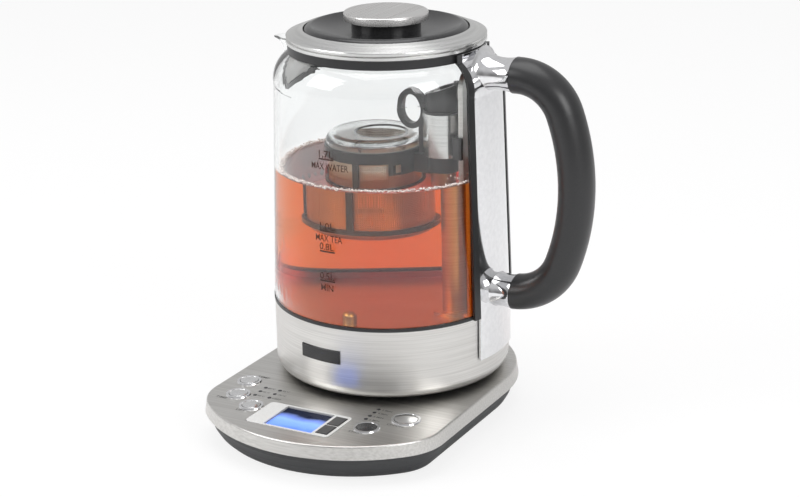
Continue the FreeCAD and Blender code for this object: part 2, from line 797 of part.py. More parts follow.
def panel_section(inner_gap, sheet, bottom):
    """Half-section that follows the steel band and the glass up to the collar."""
    low = jug_radius + inner_gap
    hip = glass_shoulder_radius + inner_gap
    neck = glass_neck_radius + gasket_wall + inner_gap
    mid_r = neck + (hip - neck) * 0.80
    mid_z = glass_shoulder_z + (glass_neck_z - glass_shoulder_z) * 0.62
    top = collar_band_bottom_z - collar_gap
    return [
        line(rz(low, bottom), rz(low, glass_bottom_z)),
        line(rz(low, glass_bottom_z), rz(hip, glass_shoulder_z)),
        arc(rz(hip, glass_shoulder_z), rz(mid_r, mid_z), rz(neck, glass_neck_z)),
        line(rz(neck, glass_neck_z), rz(neck, top)),
        line(rz(neck, top), rz(neck + sheet, top)),
        line(rz(neck + sheet, top), rz(neck + sheet, glass_neck_z)),
        arc(rz(neck + sheet, glass_neck_z), rz(mid_r + sheet, mid_z), rz(hip + sheet, glass_shoulder_z)),
        line(rz(hip + sheet, glass_shoulder_z), rz(low + sheet, glass_bottom_z)),
        line(rz(low + sheet, glass_bottom_z), rz(low + sheet, bottom)),
        line(rz(low + sheet, bottom), rz(low, bottom)),
    ]


def panel_core():
    """Everything inside the panel's outer face, as a solid of revolution."""
    section = panel_section(seal_proud + panel_gap, panel_sheet, panel_bottom_z)
    outside = section[5:9]
    top = outside[0].Vertexes[0].Point
    bottom = outside[-1].Vertexes[-1].Point
    high = rz(top.x, collar_top_z)
    edges = [line(rz(0, high.z), high), line(high, top)] + outside
    edges += [line(bottom, rz(0, bottom.z)), line(rz(0, bottom.z), rz(0, high.z))]
    return turned(edges)


def make_handle_panel():
    gap = seal_proud + panel_gap
    edges = panel_section(gap, panel_sheet, panel_bottom_z)
    return turned(edges, 0, 0, 2.0 * panel_half_angle, -panel_half_angle)


def make_panel_gasket():
    gap = seal_proud + panel_gap
    strips = []
    for start in (-panel_half_angle - strip_angle, panel_half_angle):
        edges = panel_section(gap, panel_sheet + strip_proud, glass_bottom_z - seal_height)
        strips.append(turned(edges, 0, 0, strip_angle, start))
    return group(strips)


def oval(x, z, half_height, half_width):
    """Upright oval across the handle's way, its long axis level."""
    if half_width >= half_height:
        ring = Part.Ellipse(Vector(0, 0, 0), half_width, half_height).toShape()
        ring.rotate(Vector(0, 0, 0), UP, 90)
    else:
        ring = Part.Ellipse(Vector(0, 0, 0), half_height, half_width).toShape()
    ring.rotate(Vector(0, 0, 0), Vector(0, 1, 0), 90)
    ring.translate(Vector(x, 0, z))
    return Part.Wire(ring)


def make_socket(z, root_x):
    """Chrome arm that flares out of the panel and carries one end of the grip."""
    flare = socket_flare
    sections = [
        oval(root_x, z, socket_half_height + flare, socket_half_width + flare),
        oval(root_x + flare * 0.45, z, socket_half_height + flare * 0.3, socket_half_width + flare * 0.3),
        oval(root_x + flare, z, socket_half_height, socket_half_width),
        oval(socket_end_x, z, socket_half_height, socket_half_width),
    ]
    return Part.makeLoft(sections, True, False)


def panel_face_x(z):
    """How far the panel's outside stands from the axis at a height."""
    share = (z - glass_bottom_z) / (glass_shoulder_z - glass_bottom_z)
    share = min(max(share, 0.0), 1.0)
    radius = jug_radius + (glass_shoulder_radius - jug_radius) * share
    return radius + seal_proud + panel_gap + panel_sheet


def make_arm(z):
    """A socket cut to the panel's own curve, so that it seats on it all over."""
    reach = panel_face_x(z)
    arm = make_socket(z, reach - flare_sink)
    return arm.cut(panel_core())


flare_sink = 6.0


def grip_path():
    """Centre line of the grip: two bends of different radius joined by a bowed back."""
    rise = upper_socket_z - grip_mid_z
    fall = grip_mid_z - lower_socket_z
    top_turn = math.asin((rise - grip_top_radius) / (grip_back_radius - grip_top_radius))
    low_turn = math.asin((fall - grip_bottom_radius) / (grip_back_radius - grip_bottom_radius))
    back_x = grip_reach - grip_back_radius

    def on_back(turn):
        return rz(back_x + grip_back_radius * math.cos(turn), grip_mid_z + grip_back_radius * math.sin(turn))

    top_x = back_x + (grip_back_radius - grip_top_radius) * math.cos(top_turn)
    top_z = upper_socket_z - grip_top_radius
    low_x = back_x + (grip_back_radius - grip_bottom_radius) * math.cos(low_turn)
    low_z = lower_socket_z + grip_bottom_radius
    top_half = (math.pi / 2.0 + top_turn) / 2.0
    low_half = (math.pi / 2.0 + low_turn) / 2.0
    top_mid = rz(top_x + grip_top_radius * math.cos(top_half), top_z + grip_top_radius * math.sin(top_half))
    low_mid = rz(low_x + grip_bottom_radius * math.cos(low_half), low_z - grip_bottom_radius * math.sin(low_half))
    edges = [
        line(rz(socket_end_x - SINK, upper_socket_z), rz(top_x, upper_socket_z)),
        arc(rz(top_x, upper_socket_z), top_mid, on_back(top_turn)),
        arc(on_back(top_turn), on_back(0.0), on_back(-low_turn)),
        arc(on_back(-low_turn), low_mid, rz(low_x, lower_socket_z)),
    ]
    if low_x > socket_end_x:
        edges.append(line(rz(low_x, lower_socket_z), rz(socket_end_x - SINK, lower_socket_z)))
    return Part.Wire(edges)


def make_handle_grip():
    profile = oval(socket_end_x - SINK, upper_socket_z, grip_half_depth, grip_half_width)
    grip = grip_path().makePipeShell([profile], True, False)
    trim = box(0, socket_end_x, -jug_radius, jug_radius, 0, knob_top_z)
    return grip.cut(trim)


# Lid

def make_lid_dish():
    """Moulded lid: raised rim, dished top round the knob, and a hollow plug below."""
    rim_in = lid_radius - lid_rim_width
    bottom = collar_ledge_z + lid_gasket_height
    plug_in = lid_plug_radius - lid_skin
    under = lid_dish_z - lid_skin
    sag = rz((rim_in + stem_radius) / 2.0 + 2.0, lid_dish_z + 0.9)
    edges = [
        line(rz(0, lid_dish_z), rz(stem_radius, lid_dish_z)),
        arc(rz(stem_radius, lid_dish_z), sag, rz(rim_in, lid_rim_z)),
        arc(rz(rim_in, lid_rim_z), rz(rim_in + lid_rim_width * 0.55, lid_rim_z - 0.5), rz(lid_radius, lid_edge_z)),
        line(rz(lid_radius, lid_edge_z), rz(lid_radius, bottom)),
        line(rz(lid_radius, bottom), rz(lid_plug_radius, bottom)),
        line(rz(lid_plug_radius, bottom), rz(lid_plug_radius, lid_plug_bottom_z)),
        line(rz(lid_plug_radius, lid_plug_bottom_z), rz(plug_in, lid_plug_bottom_z)),
        line(rz(plug_in, lid_plug_bottom_z), rz(plug_in, under + 1.0)),
        line(rz(plug_in, under + 1.0), rz(stem_radius, under)),
        line(rz(stem_radius, under), rz(0, under)),
        line(rz(0, under), rz(0, lid_dish_z)),
    ]
    dish = turned(edges)
    return dish.cut(cylinder(lid_screw_radius + panel_part_gap, under - SINK, lid_dish_z + SINK))


def make_lid_gasket():
    return tube(lid_radius - 0.4, lid_plug_radius + 0.2, collar_ledge_z, collar_ledge_z + lid_gasket_height)


def make_lid_stem():
    top = knob_top_z - knob_thickness
    stem = cylinder(stem_radius, lid_dish_z, top)
    return stem.cut(cylinder(lid_screw_radius, lid_dish_z - SINK, top + SINK))


def make_knob_disc():
    bottom = knob_top_z - knob_thickness
    disc = cylinder(knob_radius, bottom, knob_top_z)
    rim = [e for e in disc.Edges if min(v.Z for v in e.Vertexes) > knob_top_z - SINK]
    return disc.makeFillet(knob_edge_radius, rim)


def make_lid_screw():
    under = lid_dish_z - lid_skin
    shank = cylinder(lid_screw_radius - 0.05, under - 2.5, knob_top_z - knob_thickness)
    return fused(shank, cylinder(lid_screw_radius * 2.0, under - 2.5, under))


# Strainer lift

pinion_x = lift_x - gear_module * (screw_gear_teeth + pinion_teeth) / 2.0 - 0.1
gear_top_z = gear_z + gear_thickness


def make_gear(teeth, x, bore, phase):
    """Spur gear with straight-flanked teeth, thinned for running clearance."""
    pitch = gear_module * teeth / 2.0
    root = pitch - 1.2 * gear_module
    tip = pitch + 0.8 * gear_module
    step = 2.0 * math.pi / teeth
    points = []
    for tooth in range(teeth):
        middle = phase + tooth * step
        for radius, share in ((root, -0.30), (tip, -0.12), (tip, 0.12), (root, 0.30)):
            angle = middle + share * step
            points.append(Vector(x + radius * math.cos(angle), radius * math.sin(angle), gear_z))
    gear = Part.Face(Part.Wire(polygon_edges(points))).extrude(Vector(0, 0, gear_thickness))
    return gear.cut(cylinder(bore, gear_z - SINK, gear_top_z + SINK, x))


def make_lift_post():
    """Closed steel tube on the jug's floor: the lift screw and its magnet nut run inside it."""
    bottom = heating_plate_z
    post = cylinder(post_radius, bottom, post_top_z, lift_x)
    flange = cylinder(post_flange_radius, bottom, bottom + post_flange_height, lift_x)
    body = fused(post, flange)
    dome = [e for e in body.Edges if min(v.Z for v in e.Vertexes) > post_top_z - SINK]
    body = body.makeFillet(post_wall * 2.0, dome)
    bore = cylinder(post_radius - post_wall, bottom - SINK, post_top_z - 2.0 * post_wall, lift_x)
    return body.cut(bore)


def make_guide_rail():
    """Flat steel rail beside the post, with a round head and a foot welded to the floor."""
    half = rail_width / 2.0
    straight = rail_top_z - half
    rail = box(rail_x, rail_x + rail_thickness, -half, half, heating_plate_z, straight)
    head = cylinder(half, 0, rail_thickness)
    head.rotate(Vector(0, 0, 0), Vector(0, 1, 0), 90)
    head.translate(Vector(rail_x, 0, straight))
    foot = box(rail_x - 3.0, rail_x + rail_thickness, -half, half,
               heating_plate_z, heating_plate_z + 2.0)
    foot = foot.cut(cylinder(post_flange_radius + 0.2, 0, knob_top_z, lift_x))
    return fused(rail, head, foot)


def make_lead_screw():
    return cylinder(screw_radius, gear_z - 3.0, post_top_z - 3.0 * post_wall, lift_x)


def make_magnet_nut():
    outer = post_radius - post_wall - nut_gap
    mid = (sleeve_bottom_z + sleeve_top_z) / 2.0
    return tube(outer, screw_radius + screw_running_gap, mid - nut_height / 2.0, mid + nut_height / 2.0, lift_x)


def make_lift_motor():
    top = gear_z - motor_gap
    can = cylinder(motor_radius, top - motor_height, top, pinion_x)
    flat = box(pinion_x - motor_radius, pinion_x + motor_radius, motor_radius * 0.8, motor_radius,
               top - motor_height, top)
    return can.cut(flat)


def make_motor_pinion():
    gear = make_gear(pinion_teeth, pinion_x, SINK, math.pi / pinion_teeth)
    shaft = cylinder(1.0, gear_z - motor_gap, gear_top_z, pinion_x)
    return fused(gear, shaft)


# Carriage

def make_magnet_sleeve():
    """Polished sleeve over the post that holds the ring magnet."""
    wall = tube(sleeve_radius, sleeve_radius - sleeve_wall, sleeve_bottom_z, sleeve_top_z, lift_x)
    low = tube(sleeve_radius - SINK, post_radius + slide_gap, sleeve_bottom_z, sleeve_bottom_z + sleeve_wall, lift_x)
    return fused(wall, low)


def make_ring_magnet():
    outer = sleeve_radius - sleeve_wall
    return tube(outer, post_radius + slide_gap, sleeve_bottom_z + sleeve_wall, sleeve_top_z, lift_x)


def make_sleeve_cap():
    """Black cap over the post's head, its top cut on a slant with a lip round the dip."""
    body = cylinder(cap_radius, sleeve_top_z, cap_high_z, lift_x)
    shoulder = tube(sleeve_radius - 0.3, post_radius + slide_gap, sleeve_top_z, sleeve_top_z + 1.4, lift_x)
    hollow = cylinder(post_radius + slide_gap, sleeve_top_z - SINK, cap_high_z + SINK, lift_x)
    boss = cylinder(cap_lip, cap_low_z, cap_high_z + cap_lip * 0.5, lift_x + cap_radius - SINK)
    left = lift_x - cap_radius
    right = lift_x + cap_radius
    side = cap_radius + SINK
    top = cap_high_z + SINK
    wedge = Part.Face(Part.Wire(polygon_edges([
        Vector(left, -side, cap_low_z), Vector(right, -side, cap_high_z),
        Vector(right, -side, top), Vector(left, -side, top)])))
    body = body.cut(wedge.extrude(Vector(0, 2.0 * side, 0)))
    return fused(body, shoulder, boss).cut(hollow)


def make_basket_holder():
    """Black frame: a ring with ribs round the cup, an arm, and a tube that rides on the post."""
    outer = holder_ring_radius
    inner = outer - holder_ring_wall
    ring = tube(outer, inner, holder_ring_bottom_z, holder_ring_top_z, holder_x)
    foot_top = holder_foot_z + holder_foot_height
    foot = tube(outer, inner, holder_foot_z, foot_top, holder_x)
    ribs = []
    for turn in (-84.0, 96.0, 180.0):
        half = holder_rib_width / 2.0
        rib = box(inner - SINK, inner - SINK + holder_rib_depth + SINK, -half, half,
                  foot_top - SINK, holder_ring_bottom_z + SINK)
        rib = rib.cut(cylinder(inner, 0, knob_top_z))
        rib.rotate(Vector(0, 0, 0), UP, turn)
        rib.translate(Vector(holder_x, 0, 0))
        ribs.append(rib)
    arm_half = arm_width / 2.0
    arm = box(holder_x + inner, lift_x, -arm_half, arm_half, arm_bottom_z, sleeve_bottom_z)
    latch = tube(outer, inner, arm_bottom_z, holder_ring_bottom_z + SINK, holder_x)
    latch_reach = holder_x + outer * math.cos(math.radians(46.0))
    latch = latch.common(box(latch_reach, holder_x + outer, -outer, outer, 0, knob_top_z))
    window = box(latch_reach + 2.0, latch_reach + 5.0, -outer, outer, arm_bottom_z + 2.5, holder_ring_bottom_z - 1.0)
    latch = latch.cut(window)
    sleeve = cylinder(holder_tube_radius, holder_tube_bottom_z, sleeve_bottom_z, lift_x)
    body = fused(ring, foot, *ribs, arm, latch, sleeve)
    cup_space = cylinder(inner, arm_bottom_z - SINK, holder_ring_top_z + SINK, holder_x)
    bore = cylinder(post_radius + slide_gap, 0, knob_top_z, lift_x)
    return body.cut([cup_space, bore])


def make_finger_ring():
    """Flat loop to lift the strainer out by, fixed between the cap and the holder's arm."""
    def band(half_width, half_height, breadth):
        flat = Part.Ellipse(Vector(0, 0, 0), max(half_width, half_height), min(half_width, half_height)).toShape()
        if half_height > half_width:
            flat.rotate(Vector(0, 0, 0), UP, 90)
        flat.rotate(Vector(0, 0, 0), Vector(1, 0, 0), 90)
        flat.translate(Vector(ring_x, breadth / 2.0, ring_z))
        return Part.Face(Part.Wire(flat)).extrude(Vector(0, -breadth, 0))
    loop = band(ring_half_width, ring_half_height, ring_breadth)
    loop = loop.cut(band(ring_half_width - ring_strap, ring_half_height - ring_strap, ring_breadth + 2.0))
    reach = lift_x - sleeve_radius - ring_strap
    half = ring_breadth / 2.0
    leg = box(reach, reach + ring_strap, -half, half, sleeve_bottom_z, ring_z)
    tab = box(ring_x + ring_half_width - ring_strap, lift_x, -half, half, sleeve_top_z + 1.4, ring_z + 4.0)
    body = fused(loop, leg, tab)
    sleeve_space = cylinder(sleeve_radius, 0, sleeve_top_z + 1.4, lift_x)
    cap_space = cylinder(cap_radius, sleeve_top_z, knob_top_z, lift_x)
    loop_space = band(ring_half_width - ring_strap, ring_half_height - ring_strap, ring_breadth + 2.0)
    lid_space = cylinder(clear_lid_radius, 0, clear_lid_top_z, holder_x)
    return body.cut([sleeve_space, cap_space, loop_space, lid_space])


def make_guide_shoe():
    """Block behind the sleeve with two lips that run along the rail's edges."""
    top = shoe_bottom_z + shoe_height
    half = shoe_width / 2.0
    rail_half = rail_width / 2.0 + slide_gap
    block = box(lift_x + sleeve_radius - 4.0, rail_x - slide_gap, -5.0, 5.0, shoe_bottom_z, top)
    cross = box(rail_x - slide_gap - 2.2, rail_x - slide_gap, -half, half, shoe_bottom_z, top)
    lips = [box(rail_x - slide_gap - SINK, rail_x + rail_thickness, side, side + half - rail_half,
                shoe_bottom_z, top) for side in (-half, rail_half)]
    body = fused(block, cross, *lips)
    return body.cut(cylinder(sleeve_radius, 0, knob_top_z, lift_x))


def make_strainer_cup():
    """Thin mesh cup with a rounded bottom corner and a turned rim."""
    outer = holder_ring_radius - holder_ring_wall - cup_gap
    inner = outer - cup_sheet
    mid = 1.0 - math.sqrt(0.5)
    small = cup_corner - cup_sheet
    bottom = cup_bottom_z
    edges = [
        line(rz(0, bottom), rz(outer - cup_corner, bottom)),
        arc(rz(outer - cup_corner, bottom), rz(outer - cup_corner * mid, bottom + cup_corner * mid),
            rz(outer, bottom + cup_corner)),
        line(rz(outer, bottom + cup_corner), rz(outer, holder_ring_top_z)),
        line(rz(outer, holder_ring_top_z), rz(outer + cup_rim_width, holder_ring_top_z)),
        line(rz(outer + cup_rim_width, holder_ring_top_z), rz(outer + cup_rim_width, cup_top_z)),
        line(rz(outer + cup_rim_width, cup_top_z), rz(inner, cup_top_z)),
        line(rz(inner, cup_top_z), rz(inner, bottom + cup_corner)),
        arc(rz(inner, bottom + cup_corner), rz(inner - small * mid, bottom + cup_sheet + small * mid),
            rz(outer - cup_corner, bottom + cup_sheet)),
        line(rz(outer - cup_corner, bottom + cup_sheet), rz(0, bottom + cup_sheet)),
        line(rz(0, bottom + cup_sheet), rz(0, bottom)),
    ]
    return turned(edges, holder_x)


def make_strainer_lid():
    """Clear lid that rests on the cup's rim: a shallow crown and an offset pouring funnel."""
    top = clear_lid_top_z
    radius = clear_lid_radius
    low = cup_top_z
    edges = [
        line(rz(0, top), rz(radius - 6.0, top)),
        arc(rz(radius - 6.0, top), rz(radius - 1.6, top - 1.6), rz(radius, top - 4.4)),
        line(rz(radius, top - 4.4), rz(radius, low)),
        line(rz(radius, low), rz(radius - clear_lid_wall, low)),
        line(rz(radius - clear_lid_wall, low), rz(radius - clear_lid_wall, top - 4.0)),
        line(rz(radius - clear_lid_wall, top - 4.0), rz(radius - 6.0, top - clear_lid_wall)),
        line(rz(radius - 6.0, top - clear_lid_wall), rz(0, top - clear_lid_wall)),
        line(rz(0, top - clear_lid_wall), rz(0, top)),
    ]
    crown = turned(edges, holder_x)
    centre = Vector(holder_x + clear_lid_hole_shift, 0, clear_lid_funnel_z)
    height = top - clear_lid_funnel_z
    wall = clear_lid_wall
    funnel = Part.makeCone(clear_lid_hole_bottom + wall, clear_lid_hole_top + wall, height, centre, UP)
    lift = Vector(0, 0, SINK)
    hole = Part.makeCone(clear_lid_hole_bottom, clear_lid_hole_top, height + 2.0 * SINK, centre - lift, UP)
    return fused(crown, funnel).cut(hole)


def build_all():
    parts = {
        "base_housing": make_base_housing(),
        "base_top_plate": make_top_plate(),
        "rubber_feet": make_rubber_feet(),
        "base_screws": make_base_screws(),
        "cord_grommet": make_cord_grommet(),
        "power_socket": make_power_socket(),
        "socket_contacts": make_socket_contacts(),
        "control_board": make_control_board(),
        "board_switches": make_board_switches(),
        "button_bezels": make_button_bezels(),
        "indicator_lights": make_indicator_lights(),
        "display_bezel": make_display_bezel(),
        "screen_window": make_screen_window(),
        "screen_module": make_screen_module(),
        "jug_bottom_cover": make_bottom_cover(),
        "jug_base_shell": make_base_shell(),
        "jug_connector": make_jug_connector(),
        "badge_plate": make_badge_plate(),
        "heating_plate": make_heating_plate(),
        "heating_element": make_heating_element(),
        "temperature_sensor": make_temperature_sensor(),
        "glass_seal_ring": make_seal_ring(),
        "glass_body": make_glass_body(),
        "spout_filter_frame": make_filter_frame(),
        "spout_filter_mesh": make_filter_mesh(),
        "collar_ring": make_collar_ring(),
        "collar_gasket": make_collar_gasket(),
        "handle_panel": make_handle_panel(),
        "panel_gasket": make_panel_gasket(),
        "upper_socket": make_arm(upper_socket_z),
        "lower_socket": make_arm(lower_socket_z),
        "handle_grip": make_handle_grip(),
        "lid_dish": make_lid_dish(),
        "lid_gasket": make_lid_gasket(),
        "lid_stem": make_lid_stem(),
        "lid_knob_disc": make_knob_disc(),
        "lid_screw": make_lid_screw(),
        "lift_post": make_lift_post(),
        "guide_rail": make_guide_rail(),
        "lead_screw": make_lead_screw(),
        "screw_gear": make_gear(screw_gear_teeth, lift_x, screw_radius, 0.0),
        "magnet_nut": make_magnet_nut(),
        "lift_motor": make_lift_motor(),
        "motor_pinion": make_motor_pinion(),
        "magnet_sleeve": make_magnet_sleeve(),
        "ring_magnet": make_ring_magnet(),
        "sleeve_cap": make_sleeve_cap(),
        "basket_holder": make_basket_holder(),
        "finger_ring": make_finger_ring(),
        "guide_shoe": make_guide_shoe(),
        "strainer_cup": make_strainer_cup(),
        "strainer_lid": make_strainer_lid(),
    }
    for name, (spot, radius) in round_buttons.items():
        parts[name] = make_button(spot, radius)
    for name, spot in zip(("up_key", "down_key"), key_spots()):
        parts[name] = make_key(spot)
    return parts


os.makedirs("parts", exist_ok=True)
for part_name, solid in build_all().items():
    solid.exportStep(os.path.join("parts", part_name + ".step"))
    box_size = solid.BoundBox
    print(part_name, "solids", len(solid.Solids), "valid", solid.isValid(), "volume", round(solid.Volume),
          "z", round(box_size.ZMin, 1), round(box_size.ZMax, 1))
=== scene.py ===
import math
import random
import bmesh
import bpy
from mathutils import Matrix, Vector


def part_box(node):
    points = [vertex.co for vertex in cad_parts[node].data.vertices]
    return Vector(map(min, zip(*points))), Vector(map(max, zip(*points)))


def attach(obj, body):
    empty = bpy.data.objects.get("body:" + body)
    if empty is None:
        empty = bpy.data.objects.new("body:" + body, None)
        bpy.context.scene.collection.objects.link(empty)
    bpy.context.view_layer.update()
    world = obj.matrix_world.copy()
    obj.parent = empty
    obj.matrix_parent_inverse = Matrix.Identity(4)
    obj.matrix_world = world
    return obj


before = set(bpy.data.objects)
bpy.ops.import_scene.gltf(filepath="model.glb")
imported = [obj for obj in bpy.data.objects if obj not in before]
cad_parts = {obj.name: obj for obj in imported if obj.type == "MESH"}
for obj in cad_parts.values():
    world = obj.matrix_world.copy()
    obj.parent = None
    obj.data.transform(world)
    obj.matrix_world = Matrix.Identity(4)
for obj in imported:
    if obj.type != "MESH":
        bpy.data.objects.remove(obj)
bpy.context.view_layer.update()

scene = bpy.context.scene
scene.view_settings.view_transform = "Standard"

# The camera stands in front and to the right of the tea maker, a little above it,
# with the long lens and the slight tilt of the photograph.
camera_data = bpy.data.cameras.new("camera")
camera = bpy.data.objects.new("camera", camera_data)
scene.collection.objects.link(camera)
camera_data.sensor_width = 36.0
camera_data.lens = 87.02
camera_data.clip_start = 0.05
camera_right = Vector((0.879712, 0.475126, -0.019022))
camera_up = Vector((-0.135739, 0.289261, 0.947578))
camera_back = camera_right.cross(camera_up).normalized()
camera.matrix_world = Matrix.LocRotScale(
    Vector((0.54504, -0.98243, 0.47506)),
    Matrix((camera_right, camera_up, camera_back)).transposed().to_quaternion(), None)
scene.camera = camera

# Studio: a wide white floor that fades into a white surround, and soft lamps.
# The surround has darker flags at the sides, so that bare metal has something to show.
bpy.ops.object.select_all(action="DESELECT")
bpy.ops.mesh.primitive_plane_add(size=14.0)
floor = bpy.context.object
floor.name = "studio_floor"
floor_paint = bpy.data.materials.new("white_floor")
floor_paint.use_nodes = True
nodes, links = floor_paint.node_tree.nodes, floor_paint.node_tree.links
matt = nodes["Principled BSDF"]
matt.inputs["Base Color"].default_value = (0.86, 0.86, 0.86, 1)
matt.inputs["Roughness"].default_value = 0.9
matt.inputs["Specular IOR Level"].default_value = 0.1
white = nodes.new("ShaderNodeEmission")
white.inputs["Color"].default_value = (1, 1, 1, 1)
white.inputs["Strength"].default_value = 1.0
ray = nodes.new("ShaderNodeLightPath")
seen = nodes.new("ShaderNodeMath")
seen.operation = "MAXIMUM"
links.new(ray.outputs["Is Camera Ray"], seen.inputs[0])
links.new(ray.outputs["Is Transmission Ray"], seen.inputs[1])
share = nodes.new("ShaderNodeMath")
share.operation = "MULTIPLY"
share.inputs[1].default_value = 0.82
links.new(seen.outputs[0], share.inputs[0])
blend = nodes.new("ShaderNodeMixShader")
links.new(share.outputs[0], blend.inputs[0])
links.new(matt.outputs[0], blend.inputs[1])
links.new(white.outputs[0], blend.inputs[2])
links.new(blend.outputs[0], nodes["Material Output"].inputs["Surface"])
floor.data.materials.append(floor_paint)

world = bpy.data.worlds.new("studio")
scene.world = world
world.use_nodes = True
nodes, links = world.node_tree.nodes, world.node_tree.links
nodes.clear()
out = nodes.new("ShaderNodeOutputWorld")
ray = nodes.new("ShaderNodeLightPath")
way = nodes.new("ShaderNodeTexCoord")
split = nodes.new("ShaderNodeSeparateXYZ")
links.new(way.outputs["Generated"], split.inputs[0])
turn = nodes.new("ShaderNodeMath")
turn.operation = "ARCTAN2"
links.new(split.outputs["X"], turn.inputs[0])
links.new(split.outputs["Y"], turn.inputs[1])
around = nodes.new("ShaderNodeMapRange")
around.inputs["From Min"].default_value = -math.pi
around.inputs["From Max"].default_value = math.pi
links.new(turn.outputs[0], around.inputs["Value"])
flags = nodes.new("ShaderNodeValToRGB")
flags.color_ramp.interpolation = "EASE"
flags.color_ramp.elements[0].position = 0.0
flags.color_ramp.elements[0].color = (0.42, 0.42, 0.42, 1)
flags.color_ramp.elements[1].position = 1.0
flags.color_ramp.elements[1].color = (0.42, 0.42, 0.42, 1)
for place, tone in ((0.06, 0.30), (0.14, 0.62), (0.24, 0.95), (0.40, 0.80), (0.55, 0.90), (0.70, 0.55),
                    (0.78, 0.95), (0.84, 0.95), (0.90, 0.40), (0.96, 0.30)):
    step = flags.color_ramp.elements.new(place)
    step.color = (tone, tone, tone, 1)
links.new(around.outputs[0], flags.inputs[0])
height = nodes.new("ShaderNodeMapRange")
height.interpolation_type = "SMOOTHSTEP"
height.inputs["From Min"].default_value = 0.15
height.inputs["From Max"].default_value = 0.75
links.new(split.outputs["Z"], height.inputs["Value"])
sky = nodes.new("ShaderNodeMix")
sky.data_type = "RGBA"
links.new(height.outputs[0], sky.inputs[0])
links.new(flags.outputs[0], sky.inputs[6])
sky.inputs[7].default_value = (0.85, 0.85, 0.86, 1)
dim = nodes.new("ShaderNodeBackground")
dim.inputs["Strength"].default_value = 0.75
links.new(sky.outputs[2], dim.inputs["Color"])
bright = nodes.new("ShaderNodeBackground")
bright.inputs["Color"].default_value = (1, 1, 1, 1)
seen = nodes.new("ShaderNodeMath")
seen.operation = "MAXIMUM"
links.new(ray.outputs["Is Camera Ray"], seen.inputs[0])
links.new(ray.outputs["Is Transmission Ray"], seen.inputs[1])
both = nodes.new("ShaderNodeMixShader")
links.new(seen.outputs[0], both.inputs[0])
links.new(dim.outputs[0], both.inputs[1])
links.new(bright.outputs[0], both.inputs[2])
links.new(both.outputs[0], out.inputs["Surface"])

for name, place, size, power in (("left_softbox", (-0.9, -0.9, 1.0), 0.8, 9.0),
                                 ("right_softbox", (1.3, -0.5, 0.9), 0.7, 8.0),
                                 ("top_softbox", (-0.1, 0.1, 1.5), 1.1, 9.0)):
    lamp_data = bpy.data.lights.new(name, "AREA")
    lamp_data.size = size
    lamp_data.energy = power
    lamp = bpy.data.objects.new(name, lamp_data)
    scene.collection.objects.link(lamp)
    lamp.location = place
    lamp.rotation_euler = (Vector((0, 0, 0.1)) - Vector(place)).to_track_quat("-Z", "Y").to_euler()


# Top plate of the power base: one folded sheet of stainless steel, brushed along the front,
# with a turned-down skirt. Fine lines run left to right and break up the shine.
def finish(name, colour, rough, metal=0.0):
    made = bpy.data.materials.new(name)
    made.use_nodes = True
    shader = made.node_tree.nodes["Principled BSDF"]
    shader.inputs["Base Color"].default_value = (*colour, 1)
    shader.inputs["Roughness"].default_value = rough
    shader.inputs["Metallic"].default_value = metal
    return made


def grain(made, stretch, depth, low, high, fine=1.0, tone=None, distance=0.00002, detail=3.0):
    """Noise stretched along the brushing or left even for moulded grain, in bump, roughness and tone."""
    nodes, links = made.node_tree.nodes, made.node_tree.links
    shader = nodes["Principled BSDF"]
    place = nodes.new("ShaderNodeTexCoord")
    size = nodes.new("ShaderNodeMapping")
    size.inputs["Scale"].default_value = stretch
    noise = nodes.new("ShaderNodeTexNoise")
    noise.inputs["Scale"].default_value = fine
    noise.inputs["Detail"].default_value = detail
    links.new(place.outputs["Object"], size.inputs["Vector"])
    links.new(size.outputs[0], noise.inputs["Vector"])
    rough = nodes.new("ShaderNodeMapRange")
    rough.inputs["To Min"].default_value = low
    rough.inputs["To Max"].default_value = high
    links.new(noise.outputs["Fac"], rough.inputs["Value"])
    links.new(rough.outputs[0], shader.inputs["Roughness"])
    bump = nodes.new("ShaderNodeBump")
    bump.inputs["Strength"].default_value = depth
    bump.inputs["Distance"].default_value = distance
    links.new(noise.outputs["Fac"], bump.inputs["Height"])
    links.new(bump.outputs[0], shader.inputs["Normal"])
    if tone:
        ramp = nodes.new("ShaderNodeValToRGB")
        ramp.color_ramp.elements[0].position = 0.3
        ramp.color_ramp.elements[0].color = (*tone[0], 1)
        ramp.color_ramp.elements[1].position = 0.7
        ramp.color_ramp.elements[1].color = (*tone[1], 1)
        links.new(noise.outputs["Fac"], ramp.inputs[0])
        links.new(ramp.outputs[0], shader.inputs["Base Color"])
    return made


def dress(made, *names):
    for name in names:
        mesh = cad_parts[name].data
        mesh.materials.clear()
        mesh.materials.append(made)


plate_steel = finish("plate_steel", (0.60, 0.59, 0.57), 0.3, 1.0)
grain(plate_steel, (12.0, 900.0, 900.0), 0.5, 0.24, 0.42, tone=((0.53, 0.52, 0.50), (0.66, 0.65, 0.63)))
dress(plate_steel, "base_top_plate")

